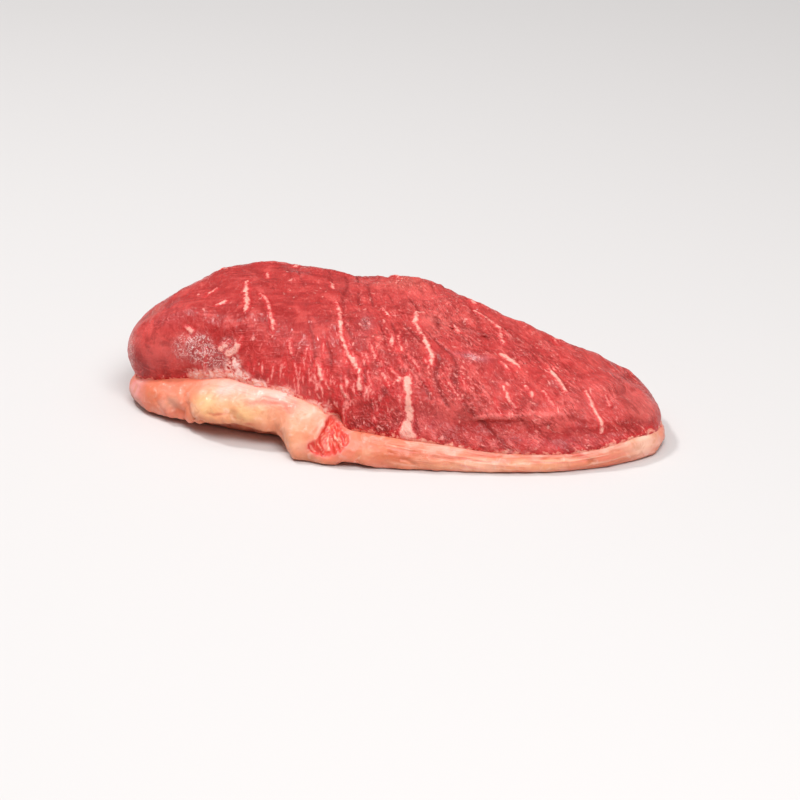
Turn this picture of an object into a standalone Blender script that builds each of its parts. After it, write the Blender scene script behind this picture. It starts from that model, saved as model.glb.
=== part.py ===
# Raw picanha: the beef rump cap in one piece, lying on its fat side.
# Drawn in millimetres and built in metres. X runs along the muscle to its thin tip, Y away from
# the trimmed front edge, Z up. The origin is the middle of the bounding box on the resting plane.
#
# Both solids are lofts of unlike sections. A station walks round the plan outline, and at each one
# a section runs inward from the rim. A bearing of 0 degrees is the tip, 90 the back, 180 the thick
# end and 270 the front. Each table below gives one section size at the bearings where it changes.

import bpy
import numpy as np

MM = 0.001
SEAM_GAP = 0.3               # clearance between the muscle and its fat cap

# Mesh density
STATIONS = 112               # sections round the outline
CROWDING = 0.3               # how much closer they stand at the front left, where the flap is
CROWD_AT = 0.66              # share of the way round where they stand closest
SEAM_RINGS = 5               # from the middle to the rim, where muscle and fat meet
SIDE_RINGS = 14              # up the side of the muscle
TOP_RINGS = 10               # over its top
FACE_RINGS = 10              # down the outer face of the fat
LIP_RINGS = 3                # under the lifted lip of the fat
BASE_RINGS = 2               # over the flat underside

# Plan outline, anticlockwise from the tip
OUTLINE = (
    (141.5, -46), (140, -28), (134, -6), (115, 7.5), (84, 19), (59, 37.5), (36, 55), (13, 66),
    (-11, 69), (-38, 78), (-70, 86), (-99, 75), (-121, 52.5), (-137.5, 30), (-143, 7), (-137, -11),
    (-120, -30), (-103, -45), (-82, -55), (-63, -60), (-52, -71), (-39, -80), (-19, -83),
    (8, -85), (45, -88), (80, -87.5), (108, -82), (129, -71), (139, -60),
)
POLE = (-5.5, -3)            # where every section ends
SPINE_START = (-76, 10)      # the sections leave the rim towards this line, and bend to the pole
SPINE_END = (87.5, -37)

# Fat cap
FAT_THICKNESS = 9.5          # under the middle of the muscle
SEAM_REACH = 18              # how far in the taller rim of fat dies out
SEAM_HEIGHT = {0: 8.5, 30: 9, 120: 11.5, 165: 13, 178: 15, 190: 22, 204: 27, 218: 28.5, 233: 26.5,
               240: 24, 246: 20, 254: 16, 283: 13.5, 307: 9.5, 320: 9.5, 333: 13,
               339: 11, 347: 8.8, 353: 8.3}
SEAM_INSET = {0: 3, 120: 4, 176: 4, 190: 20, 205: 26, 219: 17, 227: 16, 242: 22, 250: 19,
              257: 15, 280: 9.5, 306: 6.5, 318: 3.5, 334: 2.5, 345: 0.8, 352: 0.8}
FOOT_INSET = {0: 5, 120: 6, 165: 8.5, 182: 9, 196: 8, 214: 9, 236: 6.5, 250: 7.5, 275: 5,
              325: 4, 340: 2, 350: 4}
FACE_SETBACK = {0: 0, 120: 0, 160: 2, 178: 1.5, 192: 0.5, 204: 0}
FACE_BULGE = 1.5             # how far the face stands out past the outline
LIFT = {0: 0, 165: 0, 184: 1.5, 196: 3, 202: 5.5, 208: 8, 214: 9, 224: 7.5, 232: 1.5, 237: 0,
        252: 0, 256: 2.4, 262: 2.4, 267: 0, 335: 0, 340: 2, 350: 1}
LIP_DEPTH = 14               # how far in the lifted lip meets the resting plane
LUMP_HEIGHT = 0.9            # uneven lower edge of the flap
LUMP_PITCH = 21
LUMP_BEARING = 212
LUMP_SPREAD = 28
FACE_FORMS = (               # bearing, share of the way up the face, their spreads, and the rise
    (186, 0.5, 3, 0.4, 1), (196, 0.35, 3, 0.35, -2.4), (207, 0.45, 6, 0.35, 1.6),
    (225, 0.5, 3.5, 0.5, -1.5), (235, 0.3, 5.5, 0.4, 3.8), (261, 0.5, 1.5, 0.5, -0.8),
)

# Tear between the flap's end and the front rim
TEAR_BEARING = 248.5
TEAR_SPREAD = 2.6
TEAR_DEPTH = 6.5
TEAR_CLIMB = 9               # degrees up the side of the muscle

# Muscle
TOP_HEIGHT = 61
PEAK_X = -60.5
FALL = 29.5                  # from the peak to the tip
FALL_REACH = 200
FALL_POWER = 2
BACK_FALL = 13               # from the peak to the thick end
BACK_REACH = 95
RIDGE_Y = 23.5
SIDE_FALL = 6.7              # from the ridge to either side
HALF_WIDTH = 90
BUMPS = (                    # x, y, radius and rise of each swell or hollow in the top
    (19, 44.5, 23, 4.3), (-90, 40, 26, 2.2), (-12, 45, 18, -1.8), (102, 0, 20, -3.2),
    (-128, 20, 12, -2.5), (122, -24, 13, -4.4), (123, -50, 9, -2), (74, 2, 15, 1.8),
)
SWELLS = ((43, 0.35, 0.5), (29, 0.9, 0.3), (61, -1.6, 0.4))    # pitch along x, slant, height
SHOULDER_INSET = {0: 34, 40: 36, 90: 32, 150: 35, 165: 34, 182: 38, 200: 48, 226: 55, 240: 59, 255: 55,
                  275: 51, 300: 48, 330: 39, 343: 32, 350: 32}
OVERHANG = {0: 2, 120: 2, 150: 6.5, 168: 10, 180: 9.5, 190: 6, 202: 2, 215: 0, 325: 0, 336: 0.5, 345: 2.8,
            352: 2.5}
GROOVE_DEPTH = {0: 0, 245: 0, 258: 1.6, 275: 2, 290: 2.6, 310: 3.1, 325: 2.6, 338: 0.7, 345: 0}
GROOVE_CLIMB = 19            # degrees up the side of the muscle
GROOVE_SPREAD = 9

LEAN_COLOUR = (0.60, 0.078, 0.070, 1)
LEAN_ROUGHNESS = 0.35
FAT_COLOUR = (0.89, 0.39, 0.24, 1)
FAT_ROUGHNESS = 0.45


# ---- shapes of one variable ----

def peak(x, middle, spread):
    return np.exp(-((x - middle) / spread) ** 2)


def ease(t):
    t = np.clip(t, 0, 1)
    return t * t * (3 - 2 * t)


def bezier(start, leaving, arriving, end, t):
    return (start * (1 - t) ** 3 + 3 * leaving * t * (1 - t) ** 2
            + 3 * arriving * (1 - t) * t ** 2 + end * t ** 3)


def read_table(table, bearing):
    """The size at each bearing, half linear and half eased between the table's entries."""
    keys = sorted(table)
    angles = np.array([keys[-1] - 360, *keys, keys[0] + 360], float)
    sizes = np.array([table[key] for key in (keys[-1], *keys, keys[0])], float)
    entry = np.clip(np.searchsorted(angles, bearing, side="right") - 1, 0, len(keys))
    share = (bearing - angles[entry]) / (angles[entry + 1] - angles[entry])
    share = (share + ease(share)) / 2
    return sizes[entry] + (sizes[entry + 1] - sizes[entry]) * share


# ---- the plan: stations round the outline, and the way in from each ----

def walk_outline():
    """Stations on a closed Catmull-Rom curve through the outline."""
    start = np.array(OUTLINE, float)[:, None]
    before, end, after = (np.roll(start, shift, axis=0) for shift in (1, -1, -2))
    t = np.linspace(0, 1, 40, endpoint=False)[None, :, None]
    curve = 0.5 * (2 * start + (end - before) * t
                   + (2 * before - 5 * start + 4 * end - after) * t ** 2
                   + (3 * start - before - 3 * end + after) * t ** 3).reshape(-1, 2)
    curve = np.vstack([curve, curve[:1]])
    length = np.concatenate([[0], np.cumsum(np.linalg.norm(np.diff(curve, axis=0), axis=1))])
    turn = np.arange(STATIONS) / STATIONS
    turn = turn - CROWDING / (2 * np.pi) * np.sin(2 * np.pi * (turn - CROWD_AT))
    walked = turn % 1 * length[-1]
    points = np.stack([np.interp(walked, length, curve[:, axis]) for axis in (0, 1)], axis=1)
    return points, walked


class Plan:
    def __init__(self):
        self.rim, self.walked = walk_outline()
        offset = self.rim - POLE
        self.bearing = np.degrees(np.arctan2(offset[:, 1], offset[:, 0])) % 360
        self.reach = np.linalg.norm(offset, axis=1)
        self.to_pole = -offset / self.reach[:, None]
        start = np.array(SPINE_START, float)
        spine = np.array(SPINE_END, float) - start
        share = np.clip((self.rim - start) @ spine / (spine @ spine), 0, 1)
        to_spine = start + share[:, None] * spine - self.rim
        self.to_spine = to_spine / np.linalg.norm(to_spine, axis=1)[:, None]

    def size(self, table):
        return read_table(table, self.bearing)

    def point(self, inset):
        """The plan point this far in from each station."""
        share = np.clip(inset / self.reach, 0, 1)[:, None]
        return self.rim + inset[:, None] * (self.to_spine + (self.to_pole - self.to_spine) * share)

    def ring(self, inset, height):
        return np.column_stack([self.point(inset), np.broadcast_to(height, inset.shape)])

    def tear(self):
        return TEAR_DEPTH * peak(self.bearing, TEAR_BEARING, TEAR_SPREAD)


# ---- surfaces ----

def top_height(points):
    x, y = points.T
    fall = FALL * (np.maximum(x - PEAK_X, 0) / FALL_REACH) ** FALL_POWER
    back_fall = BACK_FALL * (np.maximum(PEAK_X - x, 0) / BACK_REACH) ** 2
    height = TOP_HEIGHT - fall - back_fall - SIDE_FALL * ((y - RIDGE_Y) / HALF_WIDTH) ** 2
    for middle_x, middle_y, radius, rise in BUMPS:
        height = height + rise * peak(np.hypot(x - middle_x, y - middle_y), 0, radius)
    for pitch, slant, rise in SWELLS:
        height = height + rise * np.sin(2 * np.pi * (x + slant * y) / pitch)
    return height


def seam_rings(plan, side):
    """The face between muscle and fat, from the middle to the rim; side is 1 for the muscle."""
    outer = plan.size(SEAM_INSET) + plan.tear()
    rings = []
    for step in range(1, SEAM_RINGS + 1):
        share = 1 - (1 - step / SEAM_RINGS) ** 1.5
        inset = plan.reach + (outer - plan.reach) * share
        rise = (plan.size(SEAM_HEIGHT) - FAT_THICKNESS) * peak(inset - outer, 0, SEAM_REACH)
        rings.append(plan.ring(inset, FAT_THICKNESS + rise + side * SEAM_GAP / 2))
    return rings


def lean_rings(plan):
    rings = seam_rings(plan, 1)
    seam = plan.size(SEAM_INSET)
    shoulder = plan.size(SHOULDER_INSET)
    base = plan.size(SEAM_HEIGHT) + SEAM_GAP / 2
    for step in range(1, SIDE_RINGS + 1):
        climb = np.pi / 2 * step / SIDE_RINGS
        degrees = np.degrees(climb)
        groove = (peak(degrees, GROOVE_CLIMB, GROOVE_SPREAD)
                  - 0.35 * peak(degrees, GROOVE_CLIMB - 14, GROOVE_SPREAD * 0.7)
                  - 0.3 * peak(degrees, GROOVE_CLIMB + 17, GROOVE_SPREAD * 1.1))
        inset = (seam + (shoulder - seam) * (1 - np.cos(climb))
                 - plan.size(OVERHANG) * np.sin(2 * climb)
                 + plan.size(GROOVE_DEPTH) * groove
                 + plan.tear() * peak(degrees, 0, TEAR_CLIMB))
        top = top_height(plan.point(inset))
        rings.append(plan.ring(inset, base + (top - base) * np.sin(climb)))
    for step in range(1, TOP_RINGS):
        inset = shoulder + (plan.reach - shoulder) * step / TOP_RINGS
        rings.append(plan.ring(inset, top_height(plan.point(inset))))
    return rings


def face_form(plan, t):
    """How far the face stands out over its lobes, and back in the dents between them."""
    return sum(rise * peak(plan.bearing, bearing, spread) * peak(t, at, height)
               for bearing, at, spread, height, rise in FACE_FORMS)


def fat_rings(plan):
    rings = seam_rings(plan, -1)
    seam = plan.size(SEAM_INSET)
    foot = plan.size(FOOT_INSET)
    setback = plan.size(FACE_SETBACK)
    lift = plan.size(LIFT)
    top = plan.size(SEAM_HEIGHT) - SEAM_GAP / 2
    lumps = (LUMP_HEIGHT * peak(plan.bearing, LUMP_BEARING, LUMP_SPREAD)
             * np.sin(2 * np.pi * plan.walked / LUMP_PITCH))
    for step in range(1, FACE_RINGS + 1):
        t = 1 - step / FACE_RINGS
        inset = bezier(foot, setback - 0.3 * foot - FACE_BULGE,
                       setback + 0.25 * (seam - setback) - 1.6 * FACE_BULGE, seam, t)
        inset = inset + plan.tear() * ease((t - 0.15) / 0.6) - lumps * peak(t, 0.25, 0.3)
        inset = inset - face_form(plan, t) * ease(6 * (1 - t))
        height = bezier(lift, lift - np.minimum(lift, 2) / 2, lift + 0.92 * (top - lift), top, t)
        rings.append(plan.ring(inset, height))
    for step in range(1, LIP_RINGS + 1):
        share = step / LIP_RINGS
        rings.append(plan.ring(foot + LIP_DEPTH * share, lift * (1 - share) ** 1.5))
    for step in range(1, BASE_RINGS + 1):
        inner = foot + LIP_DEPTH
        inset = inner + (plan.reach - inner) * step / (BASE_RINGS + 1)
        rings.append(plan.ring(inset, 0))
    return rings


# ---- solids ----

def skin(rings, outward):
    """Triangles over the rings, from a point at the first to a point at the last."""
    count = len(rings[0])
    station = np.arange(count)
    after = (station + 1) % count
    starts = 1 + count * np.arange(len(rings) - 1)[:, None]
    lower, lower_next = starts + station, starts + after
    upper, upper_next = lower + count, lower_next + count
    last = 1 + count * (len(rings) - 1)
    tip = last + count
    faces = np.concatenate([
        np.stack([np.zeros(count, int), 1 + after, 1 + station], axis=-1),
        np.stack([lower, lower_next, upper_next], axis=-1).reshape(-1, 3),
        np.stack([lower, upper_next, upper], axis=-1).reshape(-1, 3),
        np.stack([last + station, last + after, np.full(count, tip)], axis=-1),
    ])
    return faces if outward else faces[:, ::-1]


def pole_point(height):
    return np.array([[*POLE, height]], float)


def make_material(name, colour, roughness):
    material = bpy.data.materials.new(name)
    material.use_nodes = True
    shader = material.node_tree.nodes["Principled BSDF"]
    shader.inputs["Base Color"].default_value = colour
    shader.inputs["Roughness"].default_value = roughness
    shader.inputs["Metallic"].default_value = 0
    return material


def make_solid(name, points, faces, material, collection):
    mesh = bpy.data.meshes.new(name)
    mesh.from_pydata((points * MM).tolist(), [], faces.tolist())
    mesh.shade_smooth()
    mesh.set_sharp_from_angle(angle=np.radians(60))
    mesh.materials.append(material)
    collection.objects.link(bpy.data.objects.new(name, mesh))


def main():
    for item in list(bpy.data.objects):
        bpy.data.objects.remove(item, do_unlink=True)
    collection = bpy.data.collections.new("raw_picanha")
    bpy.context.scene.collection.children.link(collection)

    plan = Plan()
    lean = lean_rings(plan)
    fat = fat_rings(plan)
    middle_seam = FAT_THICKNESS
    middle_top = top_height(np.array([POLE], float))[0]
    lean_points = np.vstack([pole_point(middle_seam + SEAM_GAP / 2), *lean, pole_point(middle_top)])
    fat_points = np.vstack([pole_point(middle_seam - SEAM_GAP / 2), *fat, pole_point(0)])

    both = np.vstack([lean_points, fat_points])
    centre = (both.min(axis=0) + both.max(axis=0)) / 2 * (1, 1, 0)
    make_solid("lean", lean_points - centre, skin(lean, True),
               make_material("raw_muscle", LEAN_COLOUR, LEAN_ROUGHNESS), collection)
    make_solid("fat_cap", fat_points - centre, skin(fat, False),
               make_material("beef_fat", FAT_COLOUR, FAT_ROUGHNESS), collection)


main()
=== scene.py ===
import bpy
import numpy as np
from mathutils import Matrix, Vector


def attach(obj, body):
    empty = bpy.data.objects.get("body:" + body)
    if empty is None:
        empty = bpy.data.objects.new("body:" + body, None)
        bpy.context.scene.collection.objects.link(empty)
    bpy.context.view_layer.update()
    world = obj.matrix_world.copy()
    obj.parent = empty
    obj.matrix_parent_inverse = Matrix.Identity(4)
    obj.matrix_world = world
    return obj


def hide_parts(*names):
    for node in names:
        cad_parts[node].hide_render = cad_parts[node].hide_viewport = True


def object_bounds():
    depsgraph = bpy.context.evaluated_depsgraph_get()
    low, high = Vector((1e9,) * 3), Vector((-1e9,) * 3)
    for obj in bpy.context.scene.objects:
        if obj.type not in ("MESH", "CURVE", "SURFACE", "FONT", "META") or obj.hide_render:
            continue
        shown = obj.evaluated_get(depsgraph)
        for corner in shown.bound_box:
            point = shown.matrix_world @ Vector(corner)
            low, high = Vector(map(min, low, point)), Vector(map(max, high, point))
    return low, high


# Raw picanha: a beef rump cap lying on its fat side. Two skins, the muscle and its fat cap, each
# worked out in millimetres on a grid of stations round the outline and rings across the section.
# X runs to the thin tip, Y to the back, Z up. A bearing of 0 degrees is the tip, 90 the back,
# 180 the thick end and 270 the front; a table with such angles for keys gives millimetres.

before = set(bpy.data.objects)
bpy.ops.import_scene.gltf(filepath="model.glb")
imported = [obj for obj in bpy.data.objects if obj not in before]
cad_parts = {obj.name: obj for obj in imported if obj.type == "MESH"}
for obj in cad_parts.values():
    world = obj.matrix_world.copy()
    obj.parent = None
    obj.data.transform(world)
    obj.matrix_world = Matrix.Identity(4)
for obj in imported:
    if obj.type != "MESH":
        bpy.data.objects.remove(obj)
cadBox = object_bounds()
print("frame loaded:", ", ".join(sorted(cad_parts)))

mm = 0.001
farAway = 20.0                      # the distance in mm kept where no mark is near


def peak(x, middle, spread):        # bell curve, 1 at the middle
    return np.exp(-((x - middle) / spread) ** 2)


def ease(t):                        # 0 to 1 with flat ends
    t = np.clip(t, 0, 1)
    return t * t * (3 - 2 * t)


def bezier(start, leaving, arriving, end, t):      # cubic from start to end, drawn to the two between
    return (start * (1 - t) ** 3 + 3 * leaving * t * (1 - t) ** 2
            + 3 * arriving * (1 - t) * t ** 2 + end * t ** 3)


def shares(count):                  # one ring each, evenly from just over 0 up to 1
    return np.arange(1, count + 1)[:, None] / count


def readTable(table, bearing):      # half linear, half eased between the entries, round the circle
    keys = sorted(table)
    angles = np.array([keys[-1] - 360, *keys, keys[0] + 360], float)
    sizes = np.array([table[key] for key in (keys[-1], *keys, keys[0])], float)
    entry = np.clip(np.searchsorted(angles, bearing, side="right") - 1, 0, len(keys))
    share = (bearing - angles[entry]) / (angles[entry + 1] - angles[entry])
    share = (share + ease(share)) / 2
    return sizes[entry] + (sizes[entry + 1] - sizes[entry]) * share


lattice = np.random.default_rng(11).normal(size=(32, 32, 32, 3))
lattice /= np.linalg.norm(lattice, axis=-1, keepdims=True)


def noise(x, y, z):
    # gradient noise: random slopes at whole numbers, blended by 6t^5 - 15t^4 + 10t^3; about -1 to 1
    points = np.stack(np.broadcast_arrays(x, y, z), axis=-1)
    base = np.floor(points).astype(int)
    part = points - base
    blend = part ** 3 * (part * (part * 6 - 15) + 10)
    total = 0
    for corner in np.ndindex(2, 2, 2):
        cell = (base + corner) % 32
        slope = lattice[cell[..., 0], cell[..., 1], cell[..., 2]]
        share = np.prod(np.where(corner, blend, 1 - blend), axis=-1)
        total += np.sum(slope * (part - corner), axis=-1) * share
    return total * 1.5


def noiseOver(points, size, octaves=1, shift=0):
    # noise whose patches are that size in mm, summed at doubling pitch and halving height
    x, y, z = np.moveaxis(points / size + shift, -1, 0)
    return sum(noise(x * 2 ** k + 9.7 * k, y * 2 ** k, z * 2 ** k) / 2 ** k for k in range(octaves))


def patchy(points, size, sharpness, lift, shift=0):         # 0 to 1 in patches; more lift, more of 1
    return ease(noiseOver(points, size, 1, shift) * sharpness + lift)


def furrow(value, sharpness):       # 1 along the lines where the noise is zero, falling off beside them
    return np.exp(-np.abs(value) * sharpness)


plan = {
    "corners": (
        (141.5, -46), (140, -28), (134, -6), (115, 7.5), (84, 19), (59, 37.5), (36, 55), (13, 66),
        (-11, 69), (-38, 78), (-70, 86), (-99, 75), (-121, 52.5), (-137.5, 30), (-143, 7),
        (-137, -11), (-120, -30), (-103, -45), (-82, -55), (-63, -60), (-52, -71), (-39, -80),
        (-19, -83), (8, -85), (45, -88), (80, -87.5), (108, -82), (129, -71), (139, -60),
    ),
    "pole": (-5.5, -3),             # where every section ends
    "spine": ((-76, 10), (87.5, -37)),
    "crowding": 0.3,                # stations stand closer at the front left
    "crowdAt": 0.66,
}

seam = {                            # where the muscle meets the fat
    "inner": 9.5,                   # fat thickness under the middle
    "reach": 18,
    "height": {0: 8.5, 30: 9, 120: 11.5, 165: 13, 178: 15, 190: 22, 204: 27, 218: 28.5, 233: 26.5,
               240: 24, 246: 20, 254: 16, 283: 13.5, 307: 9.5, 320: 9.5, 333: 13,
               339: 11, 347: 8.8, 353: 8.3},
    "inset": {0: 3, 120: 4, 176: 4, 190: 20, 205: 26, 219: 17, 227: 16, 242: 22, 250: 19,
              257: 15, 280: 9.5, 306: 6.5, 318: 3.5, 334: 2.5, 345: 0.8, 352: 0.8},
    "tearBearing": 248.5,
    "tearSpread": 2.6,
    "tearDepth": 6.5,
    "overlap": 0.5,                 # the muscle sinks this far into the fat
}


class Plan:
    # a closed Catmull-Rom curve through the corners, walked by length, with each station's bearing
    # from the pole; a path inward leaves towards the nearest point of the spine and bends to the pole
    def __init__(self, stations):
        start = np.array(plan["corners"], float)[:, None]
        before, end, after = (np.roll(start, shift, axis=0) for shift in (1, -1, -2))
        t = np.linspace(0, 1, 40, endpoint=False)[None, :, None]
        curve = 0.5 * (2 * start + (end - before) * t
                       + (2 * before - 5 * start + 4 * end - after) * t ** 2
                       + (3 * start - before - 3 * end + after) * t ** 3).reshape(-1, 2)
        curve = np.vstack([curve, curve[:1]])
        length = np.concatenate([[0], np.cumsum(np.linalg.norm(np.diff(curve, axis=0), axis=1))])
        turn = np.arange(stations) / stations
        turn -= plan["crowding"] / (2 * np.pi) * np.sin(2 * np.pi * (turn - plan["crowdAt"]))
        self.walked = turn % 1 * length[-1]
        self.rim = np.stack([np.interp(self.walked, length, curve[:, k]) for k in (0, 1)], axis=1)
        offset = self.rim - plan["pole"]
        self.bearing = np.degrees(np.arctan2(offset[:, 1], offset[:, 0])) % 360
        self.reach = np.linalg.norm(offset, axis=1)
        self.toPole = -offset / self.reach[:, None]
        first = np.array(plan["spine"][0], float)
        spine = np.array(plan["spine"][1], float) - first
        share = np.clip((self.rim - first) @ spine / (spine @ spine), 0, 1)
        toSpine = first + share[:, None] * spine - self.rim
        self.toSpine = toSpine / np.linalg.norm(toSpine, axis=1)[:, None]
        self.tear = seam["tearDepth"] * peak(self.bearing, seam["tearBearing"], seam["tearSpread"])

    def size(self, table):
        return readTable(table, self.bearing)

    def point(self, inset):         # inset: rings by stations, in millimetres from the rim
        share = np.clip(inset / self.reach, 0, 1)[..., None]
        return self.rim + inset[..., None] * (self.toSpine + (self.toPole - self.toSpine) * share)

    def grid(self, inset, height):
        height = np.broadcast_to(height, inset.shape)
        return np.concatenate([self.point(inset), height[..., None]], axis=-1)

    def seamGrid(self, rings, offset):
        # from the middle out to the rim: the height rises from the inner thickness by a bell curve
        outer = self.size(seam["inset"]) + self.tear
        share = 1 - (1 - shares(rings)) ** 1.5
        inset = self.reach + (outer - self.reach) * share
        rise = (self.size(seam["height"]) - seam["inner"]) * peak(inset - outer, 0, seam["reach"])
        return self.grid(inset, seam["inner"] + rise + offset)


muscle = {
    "stations": 560, "seamRings": 5, "sideRings": 96, "topRings": 72,
    "top": 61, "peakX": -60.5, "fall": 29.5, "fallReach": 200, "fallPower": 2,
    "backFall": 13, "backReach": 95, "ridgeY": 23.5, "sideFall": 6.7, "halfWidth": 90,
    "bumps": (                      # x, y, radius, rise
        (19, 44.5, 23, 4.3), (-90, 40, 26, 2.2), (-12, 45, 18, -1.8), (102, 0, 20, -3.2),
        (-128, 20, 12, -2.5), (122, -24, 13, -4.4), (123, -50, 9, -2), (74, 2, 15, 1.8),
    ),
    "swells": ((43, 0.35, 0.5), (29, 0.9, 0.3), (61, -1.6, 0.4)),      # pitch, slant, rise
    "shoulder": {0: 34, 40: 36, 90: 32, 150: 35, 165: 34, 182: 38, 200: 48, 226: 55, 240: 59,
                 255: 55, 275: 51, 300: 48, 330: 39, 343: 32, 350: 32},
    "overhang": {0: 2, 120: 2, 150: 6.5, 168: 10, 180: 9.5, 190: 6, 202: 2, 215: 0, 325: 0, 336: 0.5,
                 345: 2.8, 352: 2.5},
    "groove": {0: 0, 245: 0, 258: 1.6, 275: 2, 290: 2.6, 310: 3.1, 325: 2.6, 338: 0.7, 345: 0},
    "grooveClimb": 19, "grooveSpread": 9,
}


def topHeight(points):
    # a dome that falls by a power of the distance towards the tip, and by its square towards the thick
    # end and the sides, with a few bell-shaped bumps and three sine swells
    x, y = points[..., 0], points[..., 1]
    ahead = np.maximum(x - muscle["peakX"], 0) / muscle["fallReach"]
    behind = np.maximum(muscle["peakX"] - x, 0) / muscle["backReach"]
    height = muscle["top"] - muscle["fall"] * ahead ** muscle["fallPower"]
    height -= muscle["backFall"] * behind ** 2
    height -= muscle["sideFall"] * ((y - muscle["ridgeY"]) / muscle["halfWidth"]) ** 2
    for middleX, middleY, radius, rise in muscle["bumps"]:
        height += rise * peak(np.hypot(x - middleX, y - middleY), 0, radius)
    for pitch, slant, rise in muscle["swells"]:
        height += rise * np.sin(2 * np.pi * (x + slant * y) / pitch)
    return height


def muscleGrid(way):
    # side: a quarter ellipse from the seam up to the shoulder, with an overhang by the sine of twice
    # the climb and a groove; crown: on over the dome to the pole
    base = way.size(seam["height"]) - seam["overlap"]
    edge, shoulder = way.size(seam["inset"]), way.size(muscle["shoulder"])
    climb = np.pi / 2 * np.arange(1, muscle["sideRings"] + 1)[:, None] / muscle["sideRings"]
    degrees = np.degrees(climb)
    at, spread = muscle["grooveClimb"], muscle["grooveSpread"]
    groove = (peak(degrees, at, spread) - 0.35 * peak(degrees, at - 14, spread * 0.7)
              - 0.3 * peak(degrees, at + 17, spread * 1.1))
    inset = (edge + (shoulder - edge) * (1 - np.cos(climb))
             - way.size(muscle["overhang"]) * np.sin(2 * climb)
             + way.size(muscle["groove"]) * groove + way.tear * peak(degrees, 0, 9))
    top = topHeight(way.point(inset))
    side = way.grid(inset, base + (top - base) * np.sin(climb))
    inset = shoulder + (way.reach - shoulder) * shares(muscle["topRings"])[:-1]
    crown = way.grid(inset, topHeight(way.point(inset)))
    return np.concatenate([way.seamGrid(muscle["seamRings"], -seam["overlap"]), side, crown])


fat = {
    "stations": 720, "seamRings": 4, "faceRings": 60, "lipRings": 8, "baseRings": 2,
    "foot": {0: 5, 120: 6, 165: 8.5, 182: 9, 196: 8, 214: 9, 236: 6.5, 250: 7.5, 275: 5,
             325: 4, 340: 2, 350: 4},
    "setback": {0: 0, 120: 0, 160: 2, 178: 1.5, 192: 0.5, 204: 0},
    "bulge": 1.5,
    "lift": {0: 0, 165: 0, 184: 1.5, 196: 3, 202: 5.5, 208: 8, 214: 9, 224: 7.5, 232: 1.5, 237: 0,
             252: 0, 256: 2.4, 262: 2.4, 267: 0, 335: 0, 340: 2, 350: 1},
    "lipDepth": 14,
    "lumpHeight": 0.9, "lumpPitch": 21, "lumpBearing": 212, "lumpSpread": 28,
    # bearing, share of the way up the face, their spreads, and the rise of each lobe or dent
    "forms": (
        (186, 0.5, 3, 0.4, 1), (196, 0.35, 3, 0.35, -2.4), (207, 0.45, 6, 0.35, 1.6),
        (225, 0.5, 3.5, 0.5, -1.5), (235, 0.3, 5.5, 0.4, 3.8), (261, 0.5, 1.5, 0.5, -0.8),
    ),
}


def fatGrid(way):
    # face: a Bezier curve from the seam down to the foot; then the lip sinks to the plane by a power
    # of 1.5, and the flat base runs in to the pole
    edge, foot, setback = way.size(seam["inset"]), way.size(fat["foot"]), way.size(fat["setback"])
    lift, top = way.size(fat["lift"]), way.size(seam["height"])
    lumps = (fat["lumpHeight"] * peak(way.bearing, fat["lumpBearing"], fat["lumpSpread"])
             * np.sin(2 * np.pi * way.walked / fat["lumpPitch"]))
    t = 1 - shares(fat["faceRings"])
    inset = bezier(foot, setback - 0.3 * foot - fat["bulge"],
                   setback + 0.25 * (edge - setback) - 1.6 * fat["bulge"], edge, t)
    inset = inset + way.tear * ease((t - 0.15) / 0.6) - lumps * peak(t, 0.25, 0.3)
    forms = sum(rise * peak(way.bearing, bearing, spread) * peak(t, at, height)
                for bearing, at, spread, height, rise in fat["forms"])
    inset -= forms * ease(6 * (1 - t))
    height = bezier(lift, lift - np.minimum(lift, 2) / 2, lift + 0.92 * (top - lift), top, t)
    face = way.grid(inset, height)
    share = shares(fat["lipRings"])
    lip = way.grid(foot + fat["lipDepth"] * share, lift * (1 - share) ** 1.5)
    inset = foot + fat["lipDepth"]
    inset = inset + (way.reach - foot - fat["lipDepth"]) * shares(fat["baseRings"] + 1)[:-1]
    return np.concatenate([way.seamGrid(fat["seamRings"], 0), face, lip, way.grid(inset, 0)])


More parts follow.
